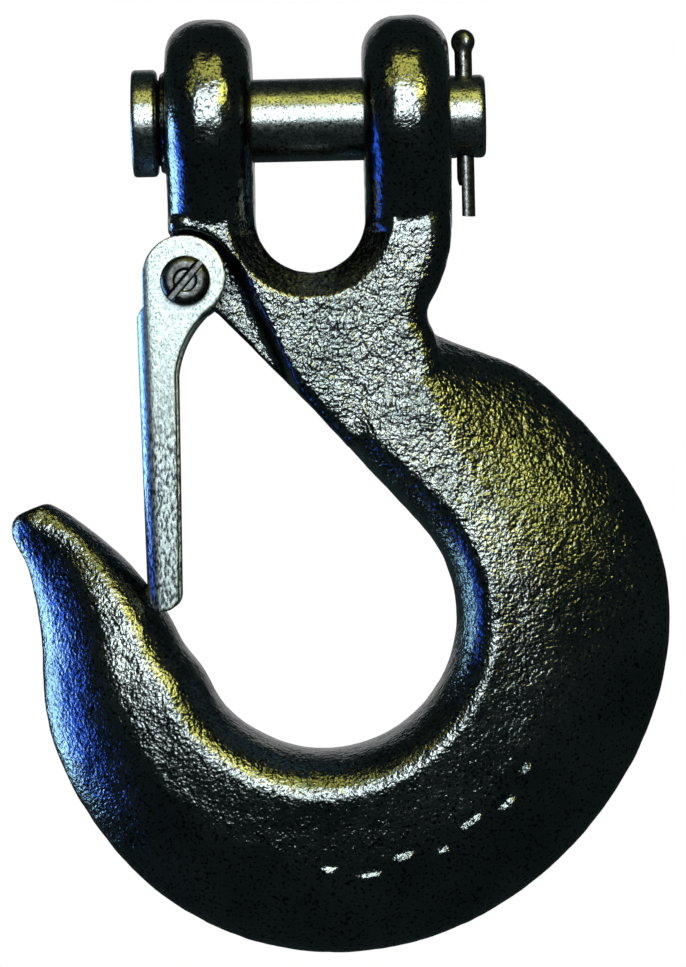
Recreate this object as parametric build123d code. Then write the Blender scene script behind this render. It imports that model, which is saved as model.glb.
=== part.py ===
"""Safety chain hook: a forged clevis slip hook with a sprung latch, for 10 mm (3/8 in) trailer safety chain.

Frame: millimetres, +Z up. The hook lies in the XZ plane and is symmetric about it (Y = 0). The origin is on
the clevis pin's axis, midway between the two ears. The hook hangs below it, with its tip on the -X side.
Each function builds one sub-part, and main() writes one STEP file for each.
"""
from build123d import *
from math import acos, atan2, cos, degrees, hypot, radians, sin, sqrt, tan
import os

# ---- driving dimensions -----------------------------------------------------------------------------------
PIN_R = 6.35            # clevis pin, 1/2 in
PIN_CLEARANCE = 0.1     # the pin turns in its drilled ears
JAW_HALF = 8.4          # half the gap between the ears
EAR_OUT = 21.65         # outer side of each ear, from the middle
LEG_OUT = 21.4          # outer side of the legs below the ears
EAR_R = 15.65           # rim of each ear, about the pin
EAR_ROUNDING = 5.4      # rim edges, almost a full round
SLOT_FLOOR_Z = -15.15   # centre of the half circle at the slot's floor
BOSS_R, BOSS_H = 7.55, 1.0   # spot-faced boss that the pin's head bears on
CREASE_Z = -15.6        # where the ears' sides meet the shank's flat faces
CREASE_ROUNDING = 1.2
EAR_FOOT_Z = -17.0      # end of the ears, inside the shank

SHANK_HALF = 9.5        # half thickness of the flat shank
SLOT_BEVEL = 4.0        # edges of the slot's floor, drawn in at 45 degrees
NECK_ROUNDING = 3.4     # edges on the right side of the shank and its neck
THROAT_ROUNDING = 2.0   # edges on its left side, along the throat
NECK = (21.7, -30.3)    # centre of the notch between the right ear and the hook's shoulder
NECK_R = 4.2
NECK_ANGLES = (212, 178, 148)   # where the notch starts, its middle and its end, in degrees about NECK
LEG_SIDE = (20.5, -23.0)    # the right leg's outer side curves through this point
SHANK_FOOT = 19.5       # width of the flat shank at its lower end

BOWL = (0.7, -75.8)     # centre of the saddle
BOWL_R = 20.3
THROAT_ANGLE = 41.6     # direction of the throat line's normal, in degrees above +X
SHANK_TOP = 24.0        # how far the lofted hook runs up the throat line, inside the shank
SHANK_END = 16.0        # how far down the throat line the flat shank reaches, above the saddle

PIVOT = (-19.05, -24.5) # latch bolt
LUG_R, LUG_HALF = 6.0, 3.0
LUG_TOP = (11.0, 100)   # the lug's upper corner, inside the shank: radius and angle about the bolt
LUG_WALL = 22.0         # length of the lug's side that lies inside the shank
LUG_ROOT = 8.0          # how far above the flat shank's end the lug leaves the throat line
POCKET_R = 7.4          # room for the latch's eye, measured beside the lug
EYE_DRAFT = 3.0         # forging draft of the pocket's round wall, in degrees
WALL_DRAFT = 10.0       # and of its long wall
POCKET_FLARE = 5.0      # how far the pockets' cutting shapes stand past the shank's faces
POCKET_WALL = 30.0      # length of the long wall
POCKET_FAR = (-30, -60) # a corner well clear of the throat
STEP_ANGLE = 24.2       # the pocket's long wall: direction of its normal, in degrees above +X
BOLT_R = 2.4
BOLT_CLEARANCE = 0.1

LATCH_EYE_R = 6.35
EYE_SHIFT = (-0.25, 0.65)   # the eye's rim is not quite concentric with its hole
LATCH_HALF = 8.1        # half the latch's width, outside
SHEET = 1.5
FOLD_R = 2.3            # outer radius of the two folds
WEB_TOP, WEB_END = (-26.65, -29.6), (-25.9, -74.5)   # outer face of the latch's web
ARM_RIGHT_TOP, ARM_RIGHT_END = (-20.8, -38.4), (-21.05, -74.5)
ARM_BEND = (-18.75, -32.6)  # the arm's right side curves through this point to the eye
EYE_ANGLE = -42         # and meets the eye here, in degrees about its centre
SHOULDER = 1.2          # drop from the eye's side to the top of the web
TOE_ROUNDING = 2.4
NOTCH_R, NOTCH_DROP, NOTCH_WIDTH = 9.35, 4.95, 3.6   # round notch in the web's end, centred below it

WIRE_R = 0.45           # latch spring
COIL_R = 3.2
COIL_GAP = 0.15         # between a coil and the lug, and between a coil and the latch's cheek
YOKE_BEND_R = 1.0
HEAD_GAP = 0.3          # axial play under the pin's head, the bolt's head and the nut

COTTER_X = 23.95        # cotter pin, through the clevis pin's free end
COTTER_R = 1.3          # each leg is half of a round wire this thick
COTTER_SLIT = 0.05
COTTER_TURN = -36       # the cotter is seldom square to the pin, in degrees about Z
COTTER_HOLE_R = 1.55

OVERLAP = 1.0           # how far joined shapes run into one another
TOUCH, NEAR = 0.01, 0.1 # how close an edge must be to a place to be picked there


# ---- plane geometry in X and Z ----------------------------------------------------------------------------
def polar(centre, radius, angle):
    """The point at that radius and angle, in degrees, about centre."""
    return (centre[0] + radius * cos(radians(angle)), centre[1] + radius * sin(radians(angle)))


def ray_to_circle(start, angle, centre, radius):
    """Distance from start along angle to the far side of a circle."""
    ux, uz = cos(radians(angle)), sin(radians(angle))
    dx, dz = start[0] - centre[0], start[1] - centre[1]
    along = dx * ux + dz * uz
    return -along + sqrt(along * along - dx * dx - dz * dz + radius * radius)


def up_throat(distance, inset=0.0):
    """The point on the throat line that far above the saddle, moved into the metal by inset."""
    foot = polar(BOWL, BOWL_R + inset, THROAT_ANGLE)
    return polar(foot, distance, THROAT_ANGLE + 90)


def front(sketch, y0, y1):
    """Extrudes a sketch drawn as X, Z between two Y values."""
    return extrude(Plane((0, y0, 0), x_dir=(1, 0, 0), z_dir=(0, -1, 0)) * sketch, y0 - y1)


def outline(*edges):
    """A face bounded by edges that join end to end."""
    return make_face(Wire(list(edges)))


def about_pivot(radius, angle):
    return polar(PIVOT, radius, angle)


# ---- hook body --------------------------------------------------------------------------------------------
OUTER_ARCS = (          # from, to (degrees about BOWL), centre, radius of the hook's back
    (90, -4, (8.5, -78.0), 45.1),
    (-4, -76, (-1.0, -73.0), 55.05),
    (-76, -142, (2.5, -82.9), 44.6),
    (-142, -175, (8.0, -79.8), 51.1),
)
TIP_INNER = ((-60.6, -96.5), 43.2, 24.0, 56.0)    # centre, radius, first and last angle of the convex inside
TIP_BACK = ((-92.7, -81.9), 50.25, -2.0, 20.5)    # the same for its hollow back
TIP_DRAFT = 2.5
NOSE = (                # inner and outer point, half thickness of the last two sections
    ((-38.6, -59.0), (-46.8, -61.9), 3.5),
    ((-41.2, -57.7), (-45.9, -59.4), 2.3),
)
NOSE_CROWN, NOSE_SIDE = 0.45, 0.1   # as shares of their width
SIDE_LEAD, BACK_LEAD = 0.3, 0.4     # how far the curve to the back follows the side, and then the back line


def section(inner, outer, half_thickness, crown, side, draft):
    """One cross-section of the hook: elliptic crown inside, flat sides at the draft angle, rounded back."""
    width = hypot(outer[0] - inner[0], outer[1] - inner[1])
    end_x, end_y = crown + side, half_thickness - side * tan(radians(draft))
    back = width - end_x
    reach = SIDE_LEAD * back
    plane = Plane(
        (inner[0], 0, inner[1]),
        x_dir=(outer[0] - inner[0], 0, outer[1] - inner[1]),
        z_dir=Vector(inner[1] - outer[1], 0, outer[0] - inner[0]),
    )
    lead = (end_x + reach, end_y - reach * tan(radians(draft)))
    flank = (width, BACK_LEAD * end_y)
    lines = [
        EllipticalCenterArc((crown, 0), crown, half_thickness, 90, arc_size=90),
        EllipticalCenterArc((crown, 0), crown, half_thickness, 180, arc_size=90),
        Line((crown, -half_thickness), (end_x, -end_y)),
        Bezier((end_x, -end_y), (lead[0], -lead[1]), (flank[0], -flank[1]), (width, 0)),
        Bezier((width, 0), flank, lead, (end_x, end_y)),
        Line((end_x, end_y), (crown, half_thickness)),
    ]
    return plane * outline(*lines)


def shank_sections():
    """Down the throat line, from inside the flat shank to the saddle."""
    rows = (            # up the throat line, inset, width, half thickness, crown, side, draft
        (SHANK_TOP, 1.2, 20.5, 8.3, 3.4, 11.0, 0.0),
        (16, 0, 23.2, 9.8, 4.2, 10.5, 0.5),
        (8, 0, 27.2, 10.1, 4.8, 7.0, 2.0),
    )
    made = []
    for up, inset, width, half_thickness, crown, side, draft in rows:
        inner = up_throat(up, inset)
        outer = polar(inner, width, THROAT_ANGLE)
        made.append(section(inner, outer, half_thickness, crown, side, draft))
    return made


def saddle_sections():
    """Round the saddle, clockwise seen from the front."""
    rows = (            # angle about BOWL, half thickness, crown, side, draft
        (THROAT_ANGLE, 10.4, 5.2, 4.0, 5.0),
        (20, 10.9, 5.4, 4.5, 7.0),
        (-3, 11.3, 5.8, 6.0, 8.5),
        (-26, 11.7, 6.3, 8.0, 9.5),
        (-50, 12.0, 6.9, 9.0, 10.0),
        (-75, 12.0, 7.3, 9.0, 10.0),
        (-100, 11.9, 7.5, 8.0, 9.5),
        (-122, 11.6, 7.4, 7.0, 7.0),
        (-142, 11.1, 7.2, 6.0, 4.5),
        (-160, 10.4, 7.0, 5.0, 3.0),
    )
    made = []
    for angle, half_thickness, crown, side, draft in rows:
        centre, radius = next((c, r) for high, low, c, r in OUTER_ARCS if low <= angle <= high)
        outer = polar(BOWL, ray_to_circle(BOWL, angle, centre, radius), angle)
        made.append(section(polar(BOWL, BOWL_R, angle), outer, half_thickness, crown, side, draft))
    return made


def tip_sections():
    """Up the tip, between its convex inside and its hollow back, and round the nose."""
    rows = (            # share of the way up, half thickness, crown, side
        (0.0, 9.6, 6.8, 4.0),
        (0.15, 9.1, 6.4, 3.2),
        (0.35, 8.2, 5.7, 2.4),
        (0.62, 6.5, 4.7, 1.6),
        (0.88, 4.6, 3.4, 1.0),
    )
    made = []
    for share, half_thickness, crown, side in rows:
        inner, outer = (
            polar(centre, radius, first + share * (last - first))
            for centre, radius, first, last in (TIP_INNER, TIP_BACK)
        )
        made.append(section(inner, outer, half_thickness, crown, side, TIP_DRAFT))
    for inner, outer, half_thickness in NOSE:
        width = hypot(outer[0] - inner[0], outer[1] - inner[1])
        made.append(section(inner, outer, half_thickness, NOSE_CROWN * width, NOSE_SIDE * width, TIP_DRAFT))
    return made


def hook_curve():
    return loft([*shank_sections(), *saddle_sections(), *tip_sections()])


def shank():
    """The flat middle of the forging: both legs, the slot's floor, the neck and the throat's edge."""
    leg_top = SLOT_FLOOR_Z
    low_left = up_throat(SHANK_END)
    low_right = polar(low_left, SHANK_FOOT, THROAT_ANGLE)
    reach = (low_left[0] + LEG_OUT) / sin(radians(THROAT_ANGLE))
    top_left = polar(low_left, reach, THROAT_ANGLE + 90)
    notch_low, notch_mid, notch_high = (polar(NECK, NECK_R, a) for a in NECK_ANGLES)
    face = outline(
        Line((-LEG_OUT, leg_top), top_left),
        Line(top_left, low_left),
        Line(low_left, low_right),
        Line(low_right, notch_low),
        ThreePointArc(notch_low, notch_mid, notch_high),
        ThreePointArc(notch_high, LEG_SIDE, (LEG_OUT, leg_top)),
        Line((LEG_OUT, leg_top), (JAW_HALF, leg_top)),
        ThreePointArc((JAW_HALF, leg_top), (0, leg_top - JAW_HALF), (-JAW_HALF, leg_top)),
        Line((-JAW_HALF, leg_top), (-LEG_OUT, leg_top)),
    )
    block = front(face, -SHANK_HALF, SHANK_HALF)
    slot = [e for e in on_the_faces(block) if hypot(e.center().X, e.center().Z - leg_top) < JAW_HALF + NEAR]
    block = chamfer(slot, SLOT_BEVEL)
    rounded = [
        e for e in on_the_faces(block)
        if e.center().Z < leg_top - NEAR and abs(e.length - SHANK_FOOT) > TOUCH and abs(e.center().X) > NEAR
    ]
    block = fillet([e for e in rounded if e.center().X > 0], NECK_ROUNDING)
    return fillet(throat_edges(block, leg_top), THROAT_ROUNDING)


def throat_edges(block, leg_top):
    """The shank's edges on the throat's side, between the slot and the shank's lower end."""
    low = up_throat(SHANK_END)[1]
    return [e for e in on_the_faces(block) if e.center().X < -NEAR and low < e.center().Z < leg_top - NEAR]


def on_the_faces(block):
    """The edges that lie on the shank's two flat faces."""
    return [e for e in block.edges() if abs(abs(e.center().Y) - SHANK_HALF) < TOUCH]


def lug():
    """The thin plate that carries the latch bolt, in the throat's upper corner."""
    wall_top = about_pivot(POCKET_R + 2 * OVERLAP, STEP_ANGLE)
    wall_end = polar(wall_top, LUG_WALL, STEP_ANGLE - 90)
    root = up_throat(SHANK_END + LUG_ROOT)
    face = Pos(*PIVOT) * Circle(LUG_R) + make_face(
        Polyline(PIVOT, about_pivot(*LUG_TOP), wall_top, wall_end, root, close=True)
    )
    return front(face, -LUG_HALF, LUG_HALF)


def pockets():
    """Room for the latch's eye and spring beside the lug: a cone about the bolt and a sloping long wall."""
    depth = SHANK_HALF + POCKET_FLARE - LUG_HALF
    eye_end, wall_end = (POCKET_R + depth * tan(radians(draft)) for draft in (EYE_DRAFT, WALL_DRAFT))
    cut = None
    for side in (-1, 1):
        start = Plane((PIVOT[0], side * LUG_HALF, PIVOT[1]), x_dir=(1, 0, 0), z_dir=(0, side, 0))
        cone = start * Cone(POCKET_R, eye_end, depth, align=(Align.CENTER, Align.CENTER, Align.MIN))
        wedge = loft([Plane((0, side * y, 0), x_dir=(1, 0, 0), z_dir=(0, -1, 0)) * pocket_face(radius)
                      for y, radius in ((LUG_HALF, POCKET_R), (LUG_HALF + depth, wall_end))])
        cut = cone + wedge if cut is None else cut + cone + wedge
    return cut


def pocket_face(radius):
    """The pocket's outline below the latch's eye, whose long wall stands that far from the bolt."""
    wall_top = about_pivot(radius, STEP_ANGLE)
    wall_end = polar(wall_top, POCKET_WALL, STEP_ANGLE - 90)
    return make_face(Polyline(wall_top, wall_end, POCKET_FAR, (POCKET_FAR[0], PIVOT[1]), PIVOT, close=True))


def ear(side):
    """One clevis ear, an eye seen along X, with its leg blended into the flat shank."""
    crease = (SHANK_HALF, CREASE_Z)
    bearing = atan2(-crease[1], crease[0])
    turn = acos(EAR_R / hypot(*crease))
    tangent_angle = -bearing + turn
    tangent = (EAR_R * cos(tangent_angle), EAR_R * sin(tangent_angle))
    face = outline(
        Line((-crease[0], EAR_FOOT_Z), (-crease[0], crease[1])),
        Line((-crease[0], crease[1]), (-tangent[0], tangent[1])),
        ThreePointArc((-tangent[0], tangent[1]), (0, EAR_R), tangent),
        Line(tangent, crease),
        Line(crease, (crease[0], EAR_FOOT_Z)),
        Line((crease[0], EAR_FOOT_Z), (-crease[0], EAR_FOOT_Z)),
    )
    face = fillet([v for v in face.vertices() if abs(v.Y - crease[1]) < TOUCH], CREASE_ROUNDING)
    start, end = (JAW_HALF, EAR_OUT) if side > 0 else (-EAR_OUT, -JAW_HALF)
    block = extrude(Plane((start, 0, 0), x_dir=(0, 1, 0), z_dir=(1, 0, 0)) * face, end - start)
    sides = [e for e in block.edges() if min(abs(e.center().X - start), abs(e.center().X - end)) < TOUCH]
    return fillet([e for e in sides if e.center().Z > EAR_FOOT_Z + NEAR], EAR_ROUNDING)


def hook_body():
    body = shank() + ear(1) + ear(-1)
    body += Plane((OVERLAP - EAR_OUT, 0, 0), z_dir=(-1, 0, 0)) * extrude(Circle(BOSS_R), BOSS_H + OVERLAP)
    body -= pockets()
    body += lug() + hook_curve()
    body -= Plane.YZ * Cylinder(PIN_R + PIN_CLEARANCE, 4 * EAR_OUT)
    body -= Pos(PIVOT[0], 0, PIVOT[1]) * Rot(90, 0, 0) * Cylinder(BOLT_R + BOLT_CLEARANCE, 4 * LATCH_HALF)
    return body


# ---- clevis pin and cotter --------------------------------------------------------------------------------
HEAD_R, HEAD_H = 8.2, 3.9
HEAD_FACE_X = -EAR_OUT - BOSS_H - HEAD_GAP   # the head's underside, just off the boss
PIN_END_X = 27.1
PIN_BEVEL = 0.5


def clevis_pin():
    """Headed pin, drilled across its free end for the cotter."""
    start = HEAD_FACE_X - HEAD_H
    head = Plane((start, 0, 0), z_dir=(1, 0, 0)) * extrude(Circle(HEAD_R), HEAD_H)
    head = chamfer(head.edges().group_by(Axis.X)[-1], PIN_BEVEL)
    head = fillet(head.edges().group_by(Axis.X)[0], PIN_BEVEL)
    shaft_start = HEAD_FACE_X - OVERLAP
    shaft = Plane((shaft_start, 0, 0), z_dir=(1, 0, 0)) * extrude(Circle(PIN_R), PIN_END_X - shaft_start)
    shaft = chamfer(shaft.edges().group_by(Axis.X)[-1], PIN_BEVEL)
    return head + shaft - Pos(COTTER_X, 0, 0) * Cylinder(COTTER_HOLE_R, 4 * PIN_R)


def cotter_pin():
    """Split pin of half-round wire, its eye above the clevis pin and one leg longer than the other."""
    eye_r, neck_r = 0.65, 2.4
    eye_z, long_end, short_end = 11.4, -15.3, -10.6
    point_inset, point_length = 0.4, 1.7    # the short leg's end is cut to a slope
    neck_x = neck_r + COTTER_SLIT
    neck_z = eye_z - sqrt((eye_r + neck_r) ** 2 - neck_x ** 2)
    meet = degrees(atan2(neck_z - eye_z, neck_x))
    right_meet, left_meet = polar((0, eye_z), eye_r, meet), polar((0, eye_z), eye_r, 180 - meet)
    right_mid = polar((neck_x, neck_z), neck_r, (180 + 180 + meet) / 2)
    path = Wire([
        Line((COTTER_SLIT, long_end), (COTTER_SLIT, neck_z)),
        ThreePointArc((COTTER_SLIT, neck_z), right_mid, right_meet),
        ThreePointArc(right_meet, (0, eye_z + eye_r), left_meet),
        ThreePointArc(left_meet, (-right_mid[0], right_mid[1]), (-COTTER_SLIT, neck_z)),
        Line((-COTTER_SLIT, neck_z), (-COTTER_SLIT, short_end)),
    ])
    half_disc = Circle(COTTER_R) & Pos(COTTER_R, 0) * Rectangle(2 * COTTER_R, 2 * COTTER_R)
    pin = sweep(Pos(COTTER_SLIT, 0, long_end) * half_disc, path=Plane.XZ * path)
    side = -2 * COTTER_R
    slope = point_length * (2 * COTTER_R - point_inset) / (COTTER_R - point_inset)
    bevel = Polyline((-point_inset, short_end), (side, short_end + slope), (side, short_end), close=True)
    pin -= extrude(Plane.XZ * make_face(bevel), 2 * COTTER_R, both=True)
    return Pos(COTTER_X, 0, 0) * Rot(0, 0, COTTER_TURN) * pin


# ---- latch ------------------------------------------------------------------------------------------------
def latch():
    """Folded sheet channel: two cheeks with eyes, joined by a web along the outside of the arm."""
    lean = degrees(atan2(WEB_END[1] - WEB_TOP[1], WEB_END[0] - WEB_TOP[0]))
    eye = (PIVOT[0] + EYE_SHIFT[0], PIVOT[1] + EYE_SHIFT[1])
    eye_right, eye_left = polar(eye, LATCH_EYE_R, EYE_ANGLE), polar(eye, LATCH_EYE_R, 180)
    arm = outline(
        Line(eye_left, (eye_left[0], WEB_TOP[1] + SHOULDER)),
        Line((eye_left[0], WEB_TOP[1] + SHOULDER), WEB_TOP),
        Line(WEB_TOP, WEB_END),
        Line(WEB_END, ARM_RIGHT_END),
        Line(ARM_RIGHT_END, ARM_RIGHT_TOP),
        ThreePointArc(ARM_RIGHT_TOP, ARM_BEND, eye_right),
        Line(eye_right, eye),
        Line(eye, eye_left),
    )
    cheek = arm + Pos(*eye) * Circle(LATCH_EYE_R)
    corner = [v for v in cheek.vertices() if hypot(v.X - ARM_RIGHT_END[0], v.Y - ARM_RIGHT_END[1]) < NEAR]
    cheek = fillet(corner, TOE_ROUNDING)
    web_inside = polar(WEB_TOP, SHEET, lean + 90)
    web_inside_end = polar(WEB_END, SHEET, lean + 90)
    far_left, far_low = 2 * WEB_TOP[0], 1.2 * WEB_END[1]
    hollow = make_face(Polyline(
        polar(web_inside_end, 4 * TOE_ROUNDING, lean), web_inside, (far_left, web_inside[1]), (far_left, 0),
        (0, 0), (0, far_low), close=True,
    ))
    channel = front(cheek, -LATCH_HALF, LATCH_HALF)
    channel = fillet(folds(channel, LATCH_HALF, 0), FOLD_R)
    inside = front(hollow, SHEET - LATCH_HALF, LATCH_HALF - SHEET)
    channel -= fillet(folds(inside, LATCH_HALF - SHEET, SHEET), FOLD_R - SHEET)
    channel -= Pos(WEB_END[0], 0, WEB_END[1] - NOTCH_DROP) * Rot(0, 90, 0) * Cylinder(NOTCH_R, NOTCH_WIDTH)
    bore = Pos(PIVOT[0], 0, PIVOT[1]) * Rot(90, 0, 0) * Cylinder(BOLT_R + BOLT_CLEARANCE, 4 * LATCH_HALF)
    return channel - bore


def folds(block, y, depth):
    """The two long edges of a block that lie along the web, that deep inside its outer face, at Y and -Y."""
    middle = ((WEB_TOP[0] + WEB_END[0]) / 2 + depth, (WEB_TOP[1] + WEB_END[1]) / 2)
    length = WEB_TOP[1] - WEB_END[1]
    return [
        e for e in block.edges()
        if e.length > 0.7 * length and abs(abs(e.center().Y) - y) < TOUCH
        and abs(e.center().X - middle[0]) < SHEET / 3 and abs(e.center().Z - middle[1]) < length / 5
    ]


def latch_spring():
    """Double torsion spring: two coils beside the lug, legs up against the pocket, a bridge behind the web.

    The straight arms are a shade thinner than the coils, so that they run into the coils cleanly.
    """
    inner_y = LUG_HALF + COIL_GAP + WIRE_R
    outer_y = LATCH_HALF - SHEET - COIL_GAP - WIRE_R
    wall_reach, wall_angle = 6.6, 95.0
    web_reach, web_angle = 10.1, -121.5
    start = wall_angle + degrees(acos(COIL_R / wall_reach))
    end = web_angle + 360 - degrees(acos(COIL_R / web_reach))
    turns = (end - start) / 360 + 2
    arm_r, overrun = WIRE_R - 0.03, 0.6

    def point(radius, angle, y):
        x, z = about_pivot(radius, angle)
        return Vector(x, y, z)

    def beyond(tip, joint):
        """A point past joint, as seen from tip, inside the coil."""
        return joint + (joint - tip).normalized() * overrun

    corner = point(web_reach, web_angle, -outer_y)
    corners = [beyond(corner, point(COIL_R, end, -outer_y)), corner]
    corners += [Vector(p.X, -p.Y, p.Z) for p in reversed(corners)]
    yoke = FilletPolyline(*corners, radius=YOKE_BEND_R)
    spring = sweep(Plane(yoke @ 0, z_dir=yoke % 0) * Circle(arm_r), path=yoke)
    for side in (-1, 1):
        leg_end = point(wall_reach, wall_angle, side * inner_y)
        leg_start = beyond(leg_end, point(COIL_R, start, side * inner_y))
        way = leg_end - leg_start
        leg = Plane(leg_start, z_dir=way.normalized()) * extrude(Circle(arm_r), way.length)
        spring += coil_solid(side, inner_y, outer_y, start, turns) + leg
    return spring


def coil_solid(side, inner_y, outer_y, start, turns):
    """The helix of one coil, from beside the lug out to the cheek, counterclockwise seen from the front."""
    travel = outer_y - inner_y
    frame = Plane((PIVOT[0], side * inner_y, PIVOT[1]), x_dir=(cos(radians(start)), 0, sin(radians(start))),
                  z_dir=(0, side, 0))
    helix = Helix(travel / turns, travel, COIL_R, lefthand=side > 0)
    path = frame * helix
    section_plane = Plane(path @ 0, z_dir=path % 0)
    return sweep(section_plane * Circle(WIRE_R), path=path)


# ---- latch bolt and nut -----------------------------------------------------------------------------------
BOLT_HEAD_R, BOLT_HEAD_H, BOLT_CROWN = 3.8, 2.2, 1.3
DISH_R, DISH_DEPTH = 1.75, 0.35
SLOT_WIDTH, SLOT_DEPTH = 1.15, 1.0
STEM_PROUD, STEM_BEVEL = 0.7, 0.4
BOLT_HEAD_Y = -LATCH_HALF - HEAD_GAP
NUT_Y = LATCH_HALF + HEAD_GAP
NUT_FLATS, NUT_H, NUT_BEVEL = 8.0, 3.4, 0.5
COLLAR_R, COLLAR_H, COLLAR_WALL, COLLAR_LIP, COLLAR_ROUNDING = 3.65, 1.4, 0.45, 0.3, 0.35
THREAD_GAP = 0.05
SLOT_ANGLE = 48.5


def along_y(y, sketch, depth):
    """Extrudes a sketch drawn about the latch bolt's axis from y towards +Y."""
    return extrude(Plane((PIVOT[0], y, PIVOT[1]), x_dir=(1, 0, 0), z_dir=(0, 1, 0)) * sketch, depth)


def latch_bolt():
    """Slotted round-head bolt with a dished centre."""
    top = BOLT_HEAD_Y - BOLT_HEAD_H
    head = along_y(top, Circle(BOLT_HEAD_R), BOLT_HEAD_H)
    head = fillet(head.edges().group_by(Axis.Y)[0], BOLT_CROWN)
    head -= along_y(top - OVERLAP, Circle(DISH_R), OVERLAP + DISH_DEPTH)
    slot = Rot(0, 0, -SLOT_ANGLE) * Rectangle(4 * BOLT_HEAD_R, SLOT_WIDTH)
    head -= along_y(top - OVERLAP, slot, OVERLAP + SLOT_DEPTH)
    stem_start = BOLT_HEAD_Y - OVERLAP / 2
    stem_end = NUT_Y + NUT_H + COLLAR_H + STEM_PROUD
    stem = along_y(stem_start, Circle(BOLT_R), stem_end - stem_start)
    stem = chamfer(stem.edges().group_by(Axis.Y)[-1], STEM_BEVEL)
    return head + stem


def latch_nut():
    """Hexagon lock nut with a round collar that holds the insert."""
    body = along_y(NUT_Y, RegularPolygon(NUT_FLATS / 2, 6, major_radius=False), NUT_H)
    corner_r = NUT_FLATS / sqrt(3)
    blank = along_y(NUT_Y, Circle(corner_r + NUT_BEVEL / 10), NUT_H)
    body &= chamfer(blank.edges(), NUT_BEVEL)
    body += along_y(NUT_Y + OVERLAP, Circle(COLLAR_R), NUT_H - OVERLAP + COLLAR_H)
    body = fillet(body.edges().group_by(Axis.Y)[-1], COLLAR_ROUNDING)
    body -= along_y(NUT_Y - OVERLAP, Circle(BOLT_R + THREAD_GAP), 4 * NUT_H)
    return body - along_y(NUT_Y + NUT_H, Circle(COLLAR_R - COLLAR_WALL), COLLAR_H - COLLAR_LIP)


def latch_nut_insert():
    """Nylon ring under the collar's rolled lip."""
    ring = Circle(COLLAR_R - COLLAR_WALL - THREAD_GAP) - Circle(BOLT_R + THREAD_GAP)
    return along_y(NUT_Y + NUT_H + THREAD_GAP, ring, COLLAR_H - COLLAR_LIP - 2 * THREAD_GAP)


SUBPARTS = (hook_body, clevis_pin, cotter_pin, latch, latch_spring, latch_bolt, latch_nut, latch_nut_insert)


def main():
    os.makedirs("parts", exist_ok=True)
    for build in SUBPARTS:
        export_step(build(), f"parts/{build.__name__}.step")


main()
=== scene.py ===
"""Looks of the safety chain hook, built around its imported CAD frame. Metres, in the CAD model's own axes."""
import math

import bpy
import numpy as np
from mathutils import Matrix, Vector, noise


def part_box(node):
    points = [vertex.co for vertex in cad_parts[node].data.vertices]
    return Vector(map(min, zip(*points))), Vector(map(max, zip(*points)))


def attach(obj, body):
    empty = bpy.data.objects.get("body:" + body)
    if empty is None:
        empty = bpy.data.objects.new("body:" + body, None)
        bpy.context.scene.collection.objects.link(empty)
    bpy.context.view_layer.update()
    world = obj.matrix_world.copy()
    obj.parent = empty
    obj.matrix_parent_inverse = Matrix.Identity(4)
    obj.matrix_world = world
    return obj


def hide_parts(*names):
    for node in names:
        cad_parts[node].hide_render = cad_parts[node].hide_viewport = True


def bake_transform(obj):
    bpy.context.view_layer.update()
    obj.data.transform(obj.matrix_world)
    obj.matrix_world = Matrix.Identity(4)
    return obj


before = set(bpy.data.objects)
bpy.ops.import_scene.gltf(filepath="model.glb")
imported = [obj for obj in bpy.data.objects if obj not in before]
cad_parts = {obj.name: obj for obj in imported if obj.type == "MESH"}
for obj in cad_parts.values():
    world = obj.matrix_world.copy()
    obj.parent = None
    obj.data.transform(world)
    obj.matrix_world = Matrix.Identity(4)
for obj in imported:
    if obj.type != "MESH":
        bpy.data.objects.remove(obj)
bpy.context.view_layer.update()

MM = 0.001
PIVOT = Vector((-19.05, 0, -24.5)) * MM      # latch bolt's axis, along Y
BOWL = Vector((0.7, 0, -75.8)) * MM          # centre of the saddle


# ---- meshes -----------------------------------------------------------------------------------------------
def new_object(name, mesh):
    thing = bpy.data.objects.new(name, mesh)
    bpy.context.scene.collection.objects.link(thing)
    return thing


def coordinates(mesh):
    co = np.empty(len(mesh.vertices) * 3, np.float32)
    mesh.vertices.foreach_get("co", co)
    return co.reshape(-1, 3).astype(float)


def set_coordinates(mesh, co):
    mesh.vertices.foreach_set("co", co.astype(np.float32).ravel())
    mesh.update()


def vertex_normals(mesh):
    normals = np.empty(len(mesh.vertices) * 3, np.float32)
    mesh.vertex_normals.foreach_get("vector", normals)
    return normals.reshape(-1, 3).astype(float)


def edges_of(mesh):
    pairs = np.empty(len(mesh.edges) * 2, np.int32)
    mesh.edges.foreach_get("vertices", pairs)
    return pairs.reshape(-1, 2)


VOXELS_MM = {"hook_body": 0.5, "clevis_pin": 0.3, "latch": 0.25, "latch_bolt": 0.12, "latch_nut": 0.12}
SMOOTH_ROUNDS = 3
PULL_IN, PUSH_OUT = 0.5, -0.52    # shares of the way to the neighbours' mean, in each round


def remeshed(node):
    """An even quad mesh of a CAD node's surface."""
    source = new_object("source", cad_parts[node].data.copy())
    modifier = source.modifiers.new("voxels", "REMESH")
    modifier.mode = "VOXEL"
    modifier.voxel_size = VOXELS_MM[node] * MM
    modifier.adaptivity = 0
    evaluated = source.evaluated_get(bpy.context.evaluated_depsgraph_get())
    mesh = bpy.data.meshes.new_from_object(evaluated)
    bpy.data.objects.remove(source)
    mesh.materials.clear()
    return mesh


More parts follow.
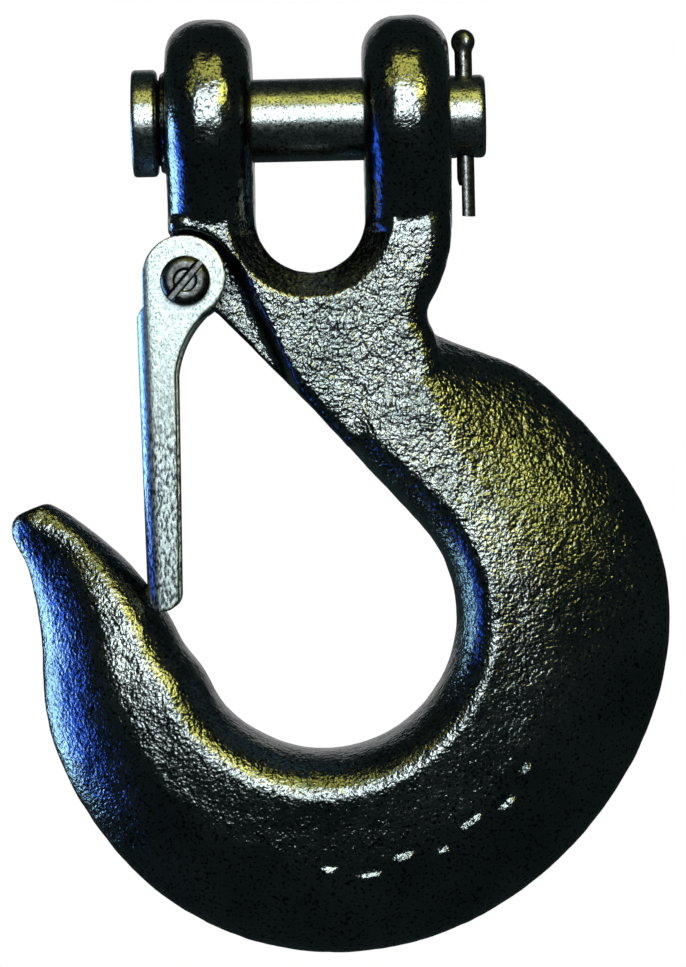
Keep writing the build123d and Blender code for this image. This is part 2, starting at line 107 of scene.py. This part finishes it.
def relax(mesh):
    """Taubin smoothing: rounds off voxel steps and sharp edges without shrinking the whole."""
    pairs = edges_of(mesh)
    co = coordinates(mesh)
    neighbours = np.bincount(pairs.ravel(), minlength=len(co)).clip(1)[:, None]
    for _ in range(SMOOTH_ROUNDS):
        for pull in (PULL_IN, PUSH_OUT):
            total = np.zeros_like(co)
            for axis in range(3):
                total[:, axis] = np.bincount(pairs[:, 0], co[pairs[:, 1], axis], len(co))
                total[:, axis] += np.bincount(pairs[:, 1], co[pairs[:, 0], axis], len(co))
            co += pull * (total / neighbours - co)
    set_coordinates(mesh, co)


def smooth_shaded(mesh):
    mesh.polygons.foreach_set("use_smooth", np.ones(len(mesh.polygons), bool))
    mesh.update()


def step(x, low, high):
    """A smooth step from 0 at low to 1 at high."""
    t = np.clip((x - low) / (high - low), 0, 1)
    return t * t * (3 - 2 * t)


def noise_at(co, size_mm, seed):
    """Two octaves of noise at each point, with bumps about size_mm across."""
    scale = 1 / (size_mm * MM)
    offset = Vector((seed, seed * 1.7, -seed))
    increment, lacunarity, octaves = 1.0, 2.0, 2
    values = []
    for point in co:
        place = Vector(point) * scale + offset
        values.append(noise.fractal(place, increment, lacunarity, octaves, noise_basis="PERLIN_ORIGINAL"))
    return np.array(values)


# ---- materials --------------------------------------------------------------------------------------------
class Material:
    """A Principled material whose colour, roughness and bump come from procedural nodes in object space."""

    def __init__(self, name, **sockets):
        self.material = bpy.data.materials.new(name)
        self.material.use_nodes = True
        self.tree = self.material.node_tree
        self.shader = self.tree.nodes["Principled BSDF"]
        self.place = self.tree.nodes.new("ShaderNodeTexCoord").outputs["Object"]
        self.normal = None
        for socket, value in sockets.items():
            self.shader.inputs[socket.replace("_", " ")].default_value = value

    def node(self, kind, inputs=(), **settings):
        made = self.tree.nodes.new(kind)
        for key, value in settings.items():
            setattr(made, key, value)
        for key, value in dict(inputs).items():
            if isinstance(value, bpy.types.NodeSocket):
                self.tree.links.new(value, made.inputs[key])
            else:
                made.inputs[key].default_value = value
        return made

    def stretched(self, scale):
        return self.node("ShaderNodeMapping", {"Vector": self.place, "Scale": scale}).outputs["Vector"]

    def height(self):
        """The point's own Z."""
        return self.node("ShaderNodeSeparateXYZ", {"Vector": self.place}).outputs["Z"]

    def noise(self, size_mm, detail, roughness=0.5, place=None):
        scale = 1 / (size_mm * MM)
        values = {"Vector": place or self.place, "Scale": scale, "Detail": detail, "Roughness": roughness}
        return self.node("ShaderNodeTexNoise", values).outputs["Fac"]

    def ramp(self, factor, *stops):
        """A colour ramp with a (position, colour or grey level) pair for each stop."""
        made = self.node("ShaderNodeValToRGB", {"Fac": factor})
        ramp = made.color_ramp
        while len(ramp.elements) < len(stops):
            ramp.elements.new(0.5)
        for element, (position, colour) in zip(ramp.elements, stops):
            element.position = position
            element.color = (*colour, 1) if isinstance(colour, tuple) else (colour, colour, colour, 1)
        return made.outputs["Color"]

    def math(self, operation, *values):
        return self.node("ShaderNodeMath", dict(enumerate(values)), operation=operation).outputs[0]

    def multiplied(self, a, b):
        values = {"Factor": 1.0, "A": a, "B": b}
        return self.node("ShaderNodeMix", values, data_type="RGBA", blend_type="MULTIPLY").outputs["Result"]

    def mix(self, factor, a, b):
        values = {"Factor": factor, "A": a, "B": b}
        return self.node("ShaderNodeMix", values, data_type="RGBA").outputs["Result"]

    def colour(self, socket):
        self.tree.links.new(socket, self.shader.inputs["Base Color"])

    def roughness(self, socket):
        self.tree.links.new(socket, self.shader.inputs["Roughness"])

    def bump(self, height, depth_mm):
        """Adds a bump on top of any earlier one."""
        values = {"Height": height, "Distance": depth_mm * MM}
        if self.normal is not None:
            values["Normal"] = self.normal
        self.normal = self.node("ShaderNodeBump", values).outputs["Normal"]
        self.tree.links.new(self.normal, self.shader.inputs["Normal"])


GRAIN_DROP = 100 * MM       # the forging's grain changes over this drop below the clevis pin
GRAIN_WAVER = 30 * MM       # and wavers by up to this much
COARSE_GRAIN, FINE_GRAIN = (1.6, 0.24), (0.55, 0.18)    # size and depth in mm
ARM_DROP = 60 * MM          # the latch's plate changes over this drop below the clevis pin


def forged_black():
    """Oil-blackened drop forging, a dark glossy metal. Its grain is faint on the ears' tops, strongest on the
    shank, and mostly fine on the bowl."""
    m = Material("forged_black", Metallic=1.0)
    waver = m.math("MULTIPLY", m.noise(9, 2), GRAIN_WAVER)
    depth = m.math("MULTIPLY", m.math("ADD", m.height(), waver), -1 / GRAIN_DROP)
    coarse = m.ramp(depth, (0.0, 0.25), (0.06, 1.0), (0.36, 1.0), (0.66, 0.28))
    fine = m.ramp(depth, (0.0, 0.4), (0.06, 1.0), (0.4, 1.0), (0.75, 0.85))
    tone = m.ramp(m.noise(11, 3), (0.35, (0.11, 0.12, 0.12)), (0.65, (0.17, 0.175, 0.17)))
    pits = m.ramp(m.noise(0.5, 2), (0.34, 0.12), (0.46, 1.0))
    m.colour(m.multiplied(tone, pits))
    m.roughness(m.ramp(m.noise(2.2, 4), (0.3, 0.12), (0.75, 0.22)))
    for (size_mm, depth_mm), amount in ((COARSE_GRAIN, coarse), (FINE_GRAIN, fine)):
        level = m.math("SUBTRACT", m.noise(size_mm, 2, 0.45), 0.5)
        m.bump(m.math("MULTIPLY", level, amount), depth_mm)
    return m.material


def plated_pin():
    """Tumbled zinc plate on steel, pocked with fine dark spots."""
    m = Material("plated_pin", Metallic=1.0)
    spots = m.ramp(m.noise(0.3, 3), (0.38, 0.2), (0.5, 1.0))
    wear = m.ramp(m.noise(4.0, 3), (0.3, (0.2, 0.22, 0.22)), (0.7, (0.32, 0.33, 0.32)))
    m.colour(m.multiplied(wear, spots))
    m.roughness(m.ramp(m.noise(0.8, 2), (0.3, 0.2), (0.7, 0.34)))
    m.bump(m.noise(0.45, 2), 0.035)
    return m.material


def zinc_sheet():
    """Pressed sheet, zinc plated: fine pale mottling on the eye, streaked and darker down the arm."""
    m = Material("zinc_sheet", Metallic=1.0)
    arm = m.ramp(m.math("MULTIPLY", m.height(), -1 / ARM_DROP), (0.55, 0.0), (0.85, 1.0))
    eye_plate = m.ramp(m.noise(0.35, 3), (0.36, (0.18, 0.21, 0.215)), (0.5, (0.44, 0.49, 0.49)))
    streaks = m.noise(0.32, 3, place=m.stretched((1, 1, 0.4)))
    dark, middle, pale = (0.04, 0.047, 0.052), (0.22, 0.25, 0.26), (0.44, 0.48, 0.49)
    arm_plate = m.ramp(streaks, (0.4, dark), (0.5, middle), (0.6, pale))
    m.colour(m.mix(arm, eye_plate, arm_plate))
    m.roughness(m.ramp(m.noise(0.9, 3), (0.3, 0.34), (0.7, 0.48)))
    m.bump(streaks, 0.04)
    return m.material


def grey_metal(name, low, high):
    """Worn metal whose grey wanders between two levels."""
    m = Material(name, Metallic=1.0)
    m.colour(m.ramp(m.noise(0.6, 4), (0.3, low), (0.7, high)))
    m.roughness(m.ramp(m.noise(0.9, 2), (0.3, 0.2), (0.7, 0.4)))
    m.bump(m.noise(0.35, 2), 0.02)
    return m.material


def nylon():
    """Off-white nylon, a little translucent."""
    m = Material("insert_nylon", Roughness=0.45)
    m.colour(m.ramp(m.noise(1.2, 3), (0.3, (0.66, 0.67, 0.62)), (0.7, (0.76, 0.77, 0.73))))
    m.shader.inputs["Subsurface Weight"].default_value = 0.2
    m.bump(m.noise(0.3, 2), 0.01)
    return m.material


# ---- pieces -----------------------------------------------------------------------------------------------
def finished(name, mesh, slot, material, *nodes):
    """Turns a mesh into a smooth piece with the given material that stands for CAD nodes, and hides those
    nodes. The slot argument is not used.
    """
    mesh.materials.append(material)
    smooth_shaded(mesh)
    piece = new_object(name, mesh)
    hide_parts(*nodes)
    return piece


DASHES = 7                     # plain raised strokes on the front of the bowl
DASH_RADIUS = 39.5 * MM        # about the saddle's centre
DASH_FIRST, DASH_STEP = math.radians(-90), math.radians(8.6)
DASH_HALF_LENGTHS = (1.1 * MM, 2.0 * MM, 1.5 * MM)
DASH_OFFSETS = (-0.8 * MM, 0.6 * MM)
DASH_HALF_WIDTH, DASH_HEIGHT = 0.5 * MM, 0.55 * MM
DASH_END_FADE = 0.3 * MM       # inside and outside each end
DASH_SIDE_FADE = (0.25 * MM, 0.45 * MM)    # inside and outside each long side
DASH_FACING = (0.3, 0.6)       # how far a surface must face the front for a stroke to start, and to be full
TIP = Vector((-43.2, 0, -61.6)) * MM       # in the middle of the point
WORN_NORMAL = Vector((0.06, -0.89, 0.45)).normalized()    # of the worn flat on the front of the point
WORN_DEPTH = 3.4 * MM          # from TIP to the flat
WORN_FADE = (2.75 * MM, 5.5 * MM)          # the flat fades out between these distances from TIP
SWELLS = ((3.6, 0.07, 0.0), (1.7, 0.035, 7.0))    # size and height in mm, and seed


def dash_height(co, normals):
    """How far each point stands out, to make the raised strokes along an arc of the bowl."""
    x, z = co[:, 0] - BOWL.x, co[:, 2] - BOWL.z
    radial = np.hypot(x, z) - DASH_RADIUS
    angle = np.arctan2(z, x)
    height = np.zeros(len(co))
    for number in range(DASHES):
        along = (angle - DASH_FIRST - number * DASH_STEP) * DASH_RADIUS
        half_length = DASH_HALF_LENGTHS[number % len(DASH_HALF_LENGTHS)]
        inside = 1 - step(np.abs(along), half_length - DASH_END_FADE, half_length + DASH_END_FADE)
        off = np.abs(radial - DASH_OFFSETS[number % len(DASH_OFFSETS)])
        across = 1 - step(off, DASH_HALF_WIDTH - DASH_SIDE_FADE[0], DASH_HALF_WIDTH + DASH_SIDE_FADE[1])
        height = np.maximum(height, inside * across)
    return height * DASH_HEIGHT * step(-normals[:, 1], *DASH_FACING)


def worn_away(co):
    """How far the worn flat on the point pushes each point in, as vectors."""
    from_tip = co - np.array(TIP)
    normal = np.array(WORN_NORMAL)
    out = np.maximum(from_tip @ normal - WORN_DEPTH, 0)
    distance = np.linalg.norm(from_tip, axis=1)
    return normal * (out * (1 - step(distance, *WORN_FADE)))[:, None]


def forging():
    """The forged hook: gently uneven, with raised strokes and a worn point, kept inside its CAD box."""
    mesh = remeshed("hook_body")
    relax(mesh)
    co = coordinates(mesh)
    normals = vertex_normals(mesh)
    swell = sum(noise_at(co, size_mm, seed) * height for size_mm, height, seed in SWELLS)
    co += normals * (swell * MM + dash_height(co, normals))[:, None]
    co -= worn_away(co)
    low, high = (np.array(corner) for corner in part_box("hook_body"))
    set_coordinates(mesh, np.clip(co, low, high))
    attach(finished("forged_hook", mesh, "forging_black", forged_black(), "hook_body"), "hook")


def machined(node, body, slot, material):
    """A CAD node's own shape with its edges softened."""
    mesh = remeshed(node)
    relax(mesh)
    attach(finished(f"{node}_finish", mesh, slot, material, node), body)


# ---- latch spring -----------------------------------------------------------------------------------------
WIRE_R = 0.45 * MM
COIL_R = 3.2 * MM
INNER_Y, OUTER_Y = 3.6 * MM, 6.0 * MM        # from beside the lug to the latch's cheek
LEG_REACH, LEG_ANGLE = 6.6 * MM, 95.0        # end of each leg, against the pocket's wall
WEB_REACH, WEB_ANGLE = 10.1 * MM, -121.5     # the bridge, behind the latch's web
WEB_BEND = 1.0 * MM
COIL_STEPS, BEND_STEPS = 120, 8
WIRE_SIDES = 14
END_DOME, END_SHARE = 0.35, 0.55             # height and width of a wire's domed end, as shares of its radius
BRIDGE_SHARE = 0.97                          # the bridge is a shade thinner, so that it starts inside a coil


def about_pivot(radius, degrees, y):
    """The point at that radius and angle about the latch's bolt, and at that y."""
    a = math.radians(degrees)
    return PIVOT + Vector((radius * math.cos(a), y, radius * math.sin(a)))


def tube(name, points, radius):
    """A round wire along a row of points, its ends closed and a little domed."""
    vertices, faces = [], []
    turns = [2 * math.pi * k / WIRE_SIDES for k in range(WIRE_SIDES)]
    across = (points[1] - points[0]).orthogonal().normalized()
    last = len(points) - 1
    for i, point in enumerate(points):
        ahead = (points[min(i + 1, last)] - points[max(i - 1, 0)]).normalized()
        across = (across - ahead * across.dot(ahead)).normalized()
        other = ahead.cross(across)
        rings = [(0, 1.0)]
        if i == 0:
            rings.insert(0, (-END_DOME * radius, END_SHARE))
        if i == last:
            rings.append((END_DOME * radius, END_SHARE))
        for shift, share in rings:
            centre = point + ahead * shift
            for t in turns:
                vertices.append(centre + (across * math.cos(t) + other * math.sin(t)) * radius * share)
    end = len(vertices) - WIRE_SIDES
    for start in range(0, end, WIRE_SIDES):
        for k in range(WIRE_SIDES):
            a, b = start + k, start + (k + 1) % WIRE_SIDES
            faces.append((a, b, b + WIRE_SIDES, a + WIRE_SIDES))
    faces += [tuple(reversed(range(WIRE_SIDES))), tuple(range(end, end + WIRE_SIDES))]
    mesh = bpy.data.meshes.new(name)
    mesh.from_pydata(vertices, [], faces)
    return mesh


def spring():
    """Both coils wind between the still lug and the moving latch. The bridge between them rides with it."""
    wire = grey_metal("spring_wire", 0.2, 0.4)
    start = LEG_ANGLE + math.degrees(math.acos(COIL_R / LEG_REACH))
    end = WEB_ANGLE + 360 - math.degrees(math.acos(COIL_R / WEB_REACH))
    sweep = end - start + 2 * 360            # two whole windings, and the way from leg to bridge
    for side, name in ((-1, "spring_coil_front"), (1, "spring_coil_back")):
        points = [about_pivot(LEG_REACH, LEG_ANGLE, side * INNER_Y)]
        for i in range(COIL_STEPS + 1):
            y = INNER_Y + (OUTER_Y - INNER_Y) * i / COIL_STEPS
            points.append(about_pivot(COIL_R, start + sweep * i / COIL_STEPS, side * y))
        piece = finished(name, tube(name, points, WIRE_R), "spring_steel", wire, "latch_spring")
        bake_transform(piece)
    front = [about_pivot(COIL_R, end, -OUTER_Y)]
    corner = about_pivot(WEB_REACH, WEB_ANGLE, -OUTER_Y)
    inward = (front[0] - corner).normalized()
    for i in range(BEND_STEPS + 1):
        a = i / BEND_STEPS * math.pi / 2
        back = Vector((0, WEB_BEND * (1 - math.cos(a)), 0))
        front.append(corner + inward * WEB_BEND * (1 - math.sin(a)) + back)
    points = front + [Vector((p.x, -p.y, p.z)) for p in reversed(front)]
    bridge = tube("spring_bridge", points, WIRE_R * BRIDGE_SHARE)
    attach(finished("spring_bridge", bridge, "spring_steel", wire, "latch_spring"), "latch")


forging()
machined("clevis_pin", "clevis_pin", "pin_steel", plated_pin())
machined("latch", "latch", "latch_zinc", zinc_sheet())
machined("latch_bolt", "hook", "bolt_steel", grey_metal("bolt_steel", 0.02, 0.1))
machined("latch_nut", "hook", "nut_zinc", grey_metal("nut_zinc", 0.35, 0.6))
spring()
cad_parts["cotter_pin"].material_slots[0].material = grey_metal("cotter_steel", 0.06, 0.22)
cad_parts["latch_nut_insert"].material_slots[0].material = nylon()


# ---- floor, lights, camera --------------------------------------------------------------------------------
AIM = Vector((4.09, 0, -55.73)) * MM        # the point in the middle of the view
CAMERA_DISTANCE = 0.73
CAMERA_ROLL = math.radians(1.3)
LENS_MM = 177.6
SENSOR_MM = 36
DIM, DIM_LEVEL = (0.62, 0.95, 1.0, 1), 0.045     # what lights the hook from all round
FLOOR_R, FLOOR_Z, FLOOR_SIDES = 0.45, -0.25, 64


def area_light(name, azimuth, elevation, distance, width, height, radiance, colour):
    """A rectangular light. Seen from the hook, azimuth 0 is the camera's side and +90 is +X.

    Angles are in degrees, the distance and the sizes in metres.
    """
    a, e = math.radians(azimuth), math.radians(elevation)
    way = Vector((math.sin(a) * math.cos(e), -math.cos(a) * math.cos(e), math.sin(e)))
    data = bpy.data.lights.new(name, "AREA")
    data.shape = "RECTANGLE"
    data.size, data.size_y = width, height
    data.energy = radiance * math.pi * width * height
    data.color = colour
    lamp = bpy.data.objects.new(name, data)
    lamp.location = AIM + way * distance
    lamp.rotation_mode = "QUATERNION"
    lamp.rotation_quaternion = way.to_track_quat("Z", "Y")
    lamp.visible_camera = False
    bpy.context.scene.collection.objects.link(lamp)


def studio_world():
    """White behind the hook, and dim where it lights the hook."""
    world = bpy.data.worlds.new("studio")
    world.use_nodes = True
    tree = world.node_tree
    dim = tree.nodes["Background"]
    dim.inputs["Color"].default_value = DIM
    dim.inputs["Strength"].default_value = DIM_LEVEL
    white = tree.nodes.new("ShaderNodeBackground")
    white.inputs["Color"].default_value = (1, 1, 1, 1)
    path = tree.nodes.new("ShaderNodeLightPath")
    blend = tree.nodes.new("ShaderNodeMixShader")
    tree.links.new(path.outputs["Is Camera Ray"], blend.inputs["Fac"])
    tree.links.new(dim.outputs["Background"], blend.inputs[1])
    tree.links.new(white.outputs["Background"], blend.inputs[2])
    tree.links.new(blend.outputs["Shader"], tree.nodes["World Output"].inputs["Surface"])
    bpy.context.scene.world = world


def floor_disc():
    """A plain pale floor, well below the hook."""
    turns = [2 * math.pi * k / FLOOR_SIDES for k in range(FLOOR_SIDES)]
    ring = [(FLOOR_R * math.cos(t), FLOOR_R * math.sin(t), FLOOR_Z) for t in turns]
    mesh = bpy.data.meshes.new("floor")
    mesh.from_pydata(ring, [], [list(range(FLOOR_SIDES))])
    paint = Material("floor_paint", Roughness=0.7)
    paint.colour(paint.ramp(paint.noise(40, 2), (0.3, (0.8, 0.8, 0.8)), (0.7, (0.84, 0.84, 0.84))))
    mesh.materials.append(paint.material)
    disc = new_object("floor", mesh)
    disc.visible_glossy = False
    return disc


def front_camera():
    """A long lens square to the hook's front, rolled a little."""
    data = bpy.data.cameras.new("camera")
    data.lens = LENS_MM
    data.sensor_width = SENSOR_MM
    camera = bpy.data.objects.new("camera", data)
    right = Vector((math.cos(CAMERA_ROLL), 0, -math.sin(CAMERA_ROLL)))
    up = Vector((math.sin(CAMERA_ROLL), 0, math.cos(CAMERA_ROLL)))
    back = Vector((0, -1, 0))
    turned = Matrix((right, up, back)).transposed().to_4x4()
    camera.matrix_world = Matrix.Translation(AIM + back * CAMERA_DISTANCE) @ turned
    bpy.context.scene.collection.objects.link(camera)
    return camera


WHITE = (1.0, 1.0, 1.0)
COOL = (0.86, 0.97, 1.0)
WARM = (0.87, 0.83, 0.17)
BLUE = (0.03, 0.14, 1.0)
PALE_BLUE = (0.38, 0.7, 1.0)
area_light("key", -1, 18, 0.9, 0.26, 0.55, 11.0, COOL)
area_light("warm_top", 3, 56, 0.8, 0.26, 0.34, 3.0, WARM)
area_light("warm_right", 22, 30, 0.9, 0.32, 0.3, 9.0, WARM)
area_light("warm_left", -30, 42, 0.9, 0.12, 0.2, 3.2, WARM)
area_light("blue_left", -86, -12, 0.36, 0.08, 0.22, 6.5, BLUE)
area_light("blue_behind", -108, -8, 0.4, 0.17, 0.28, 10.0, PALE_BLUE)
area_light("behind", 180, 20, 1.0, 0.9, 0.7, 0.5, WHITE)
studio_world()
floor_piece = floor_disc()
bpy.context.scene.camera = front_camera()
bpy.context.scene.view_settings.view_transform = "Standard"
